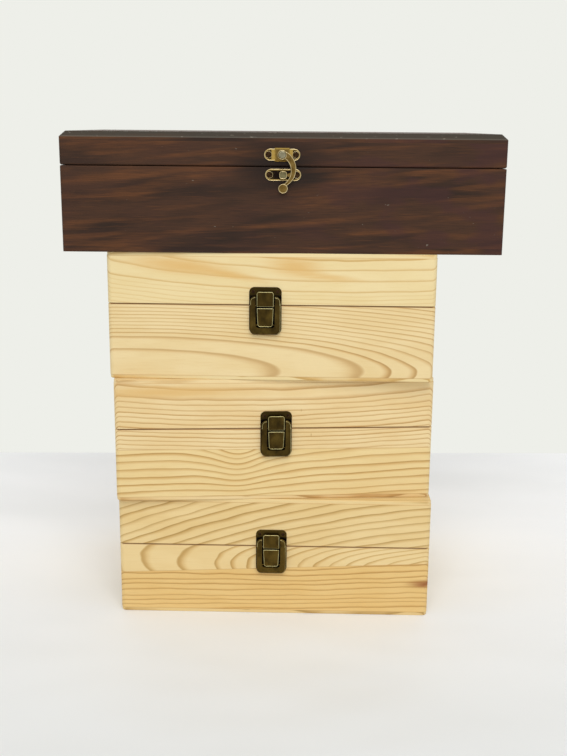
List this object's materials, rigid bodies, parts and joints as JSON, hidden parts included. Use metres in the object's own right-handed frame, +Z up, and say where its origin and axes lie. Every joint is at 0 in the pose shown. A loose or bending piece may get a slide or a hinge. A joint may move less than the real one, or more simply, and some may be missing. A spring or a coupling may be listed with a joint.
{
  "type": "stack of hinged lid wooden craft boxes",
  "caption": "Stack of lidded wooden storage boxes: pine boxes with toggle latches under a wider dark box with a swing-hook clasp; every lid, latch and box moves.",
  "frame": {"origin": "centre of the lowest box's underside", "axes": "+Z up, -Y towards the front with the latches, +X to the right seen from the front"},
  "size_m": [0.3742, 0.2286, 0.429],
  "materials": {
    "lower_pine": "planed bare pine, honey yellow",
    "middle_pine": "planed bare pine",
    "upper_pine": "planed bare pine, pale cream",
    "dark_wood": "dark brown stained wood, satin",
    "latch_bronze": "antique bronze plating, worn at the edges",
    "antique_brass": "light antique brass",
    "rivet_steel": "dull nickel",
    "hinge_brass": "antique brass",
    "bronze_screws": "dark bronze"
  },
  "bodies": {
    "lower_base": {"lower_front_board": "lower_pine", "lower_back_board": "lower_pine", "lower_end_boards": "lower_pine", "lower_floor_panel": "lower_pine", "lower_hinge_lower_leaves": "hinge_brass", "lower_latch_plate": "latch_bronze", "lower_base_screws": "bronze_screws"},
    "lower_lid": {"lower_lid_rails": "lower_pine", "lower_lid_panel": "lower_pine", "lower_hinge_upper_leaves": "hinge_brass", "lower_catch_plate": "latch_bronze", "lower_lid_screws": "bronze_screws"},
    "lower_lever": {"lower_latch_lever": "latch_bronze"},
    "lower_link": {"lower_latch_link": "latch_bronze"},
    "middle_base": {"middle_front_board": "middle_pine", "middle_back_board": "middle_pine", "middle_end_boards": "middle_pine", "middle_floor_panel": "middle_pine", "middle_hinge_lower_leaves": "hinge_brass", "middle_latch_plate": "latch_bronze", "middle_base_screws": "bronze_screws"},
    "middle_lid": {"middle_lid_rails": "middle_pine", "middle_lid_panel": "middle_pine", "middle_hinge_upper_leaves": "hinge_brass", "middle_catch_plate": "latch_bronze", "middle_lid_screws": "bronze_screws"},
    "middle_lever": {"middle_latch_lever": "latch_bronze"},
    "middle_link": {"middle_latch_link": "latch_bronze"},
    "upper_base": {"upper_front_board": "upper_pine", "upper_back_board": "upper_pine", "upper_end_boards": "upper_pine", "upper_floor_panel": "upper_pine", "upper_hinge_lower_leaves": "hinge_brass", "upper_latch_plate": "latch_bronze", "upper_base_screws": "bronze_screws"},
    "upper_lid": {"upper_lid_rails": "upper_pine", "upper_lid_panel": "upper_pine", "upper_hinge_upper_leaves": "hinge_brass", "upper_catch_plate": "latch_bronze", "upper_lid_screws": "bronze_screws"},
    "upper_lever": {"upper_latch_lever": "latch_bronze"},
    "upper_link": {"upper_latch_link": "latch_bronze"},
    "dark_base": {"dark_front_board": "dark_wood", "dark_back_board": "dark_wood", "dark_end_boards": "dark_wood", "dark_floor_panel": "dark_wood", "dark_hinge_lower_leaves": "hinge_brass", "dark_post_plate": "antique_brass", "dark_post": "antique_brass", "dark_base_screws": "bronze_screws"},
    "dark_lid": {"dark_lid_front_rail": "dark_wood", "dark_lid_back_rail": "dark_wood", "dark_lid_end_rails": "dark_wood", "dark_lid_panel": "dark_wood", "dark_hinge_upper_leaves": "hinge_brass", "dark_hook_plate": "antique_brass", "dark_lid_screws": "bronze_screws", "dark_hook_rivet": "rivet_steel"},
    "dark_hook": {"dark_hook": "antique_brass"}
  },
  "joints": [
    {"name": "middle_box_lift", "type": "slide", "parent": "lower_base", "child": "middle_base", "axis": [0, 0, 1], "range_m": [0, 0.357]},
    {"name": "upper_box_lift", "type": "slide", "parent": "middle_base", "child": "upper_base", "axis": [0, 0, 1], "range_m": [0, 0.357]},
    {"name": "dark_box_lift", "type": "slide", "parent": "upper_base", "child": "dark_base", "axis": [0, 0, 1], "range_m": [0, 0.357]},
    {"name": "lower_lid_hinge", "type": "hinge", "parent": "lower_base", "child": "lower_lid", "pos_m": [0, 0.1051, 0.0654], "axis": [-1, 0, 0], "range_deg": [0, 95]},
    {"name": "lower_lever_hinge", "type": "hinge", "parent": "lower_base", "child": "lower_lever", "pos_m": [-0.0026, -0.1047, 0.0417], "axis": [1, 0, 0], "range_deg": [0, 100]},
    {"name": "lower_link_hinge", "type": "hinge", "parent": "lower_lever", "child": "lower_link", "pos_m": [-0.0026, -0.1065, 0.0492], "axis": [1, 0, 0], "range_deg": [0, 75]},
    {"name": "middle_lid_hinge", "type": "hinge", "parent": "middle_base", "child": "middle_lid", "pos_m": [-0.01732, 0.10634, 0.1754], "axis": [-0.9966, -0.083, 0], "range_deg": [0, 95]},
    {"name": "middle_lever_hinge", "type": "hinge", "parent": "middle_base", "child": "middle_lever", "pos_m": [0.00108, -0.10266, 0.1517], "axis": [0.9966, 0.083, 0], "range_deg": [0, 100]},
    {"name": "middle_link_hinge", "type": "hinge", "parent": "middle_lever", "child": "middle_link", "pos_m": [0.00123, -0.10445, 0.1592], "axis": [0.9966, 0.083, 0], "range_deg": [0, 75]},
    {"name": "upper_lid_hinge", "type": "hinge", "parent": "upper_base", "child": "upper_lid", "pos_m": [-0.0039, 0.1035, 0.2854], "axis": [-1, 0, 0], "range_deg": [0, 95]},
    {"name": "upper_lever_hinge", "type": "hinge", "parent": "upper_base", "child": "upper_lever", "pos_m": [-0.0089, -0.1063, 0.2617], "axis": [1, 0, 0], "range_deg": [0, 100]},
    {"name": "upper_link_hinge", "type": "hinge", "parent": "upper_lever", "child": "upper_link", "pos_m": [-0.0089, -0.1081, 0.2692], "axis": [1, 0, 0], "range_deg": [0, 75]},
    {"name": "dark_lid_hinge", "type": "hinge", "parent": "dark_base", "child": "dark_lid", "pos_m": [0.00096, 0.09888, 0.4011], "axis": [-0.9998, -0.0218, 0], "range_deg": [0, 95]},
    {"name": "dark_hook_swing", "type": "hinge", "parent": "dark_lid", "child": "dark_hook", "pos_m": [0.00447, -0.1077, 0.4112], "axis": [0.0218, -0.9998, 0], "range_deg": [0, 95]}
  ],
  "couplings": [
    {"joint": "lower_lid_hinge", "follows": "middle_box_lift", "rad_per_m": 4.644},
    {"joint": "middle_lid_hinge", "follows": "upper_box_lift", "rad_per_m": 4.644},
    {"joint": "upper_lid_hinge", "follows": "dark_box_lift", "rad_per_m": 4.644}
  ]
}
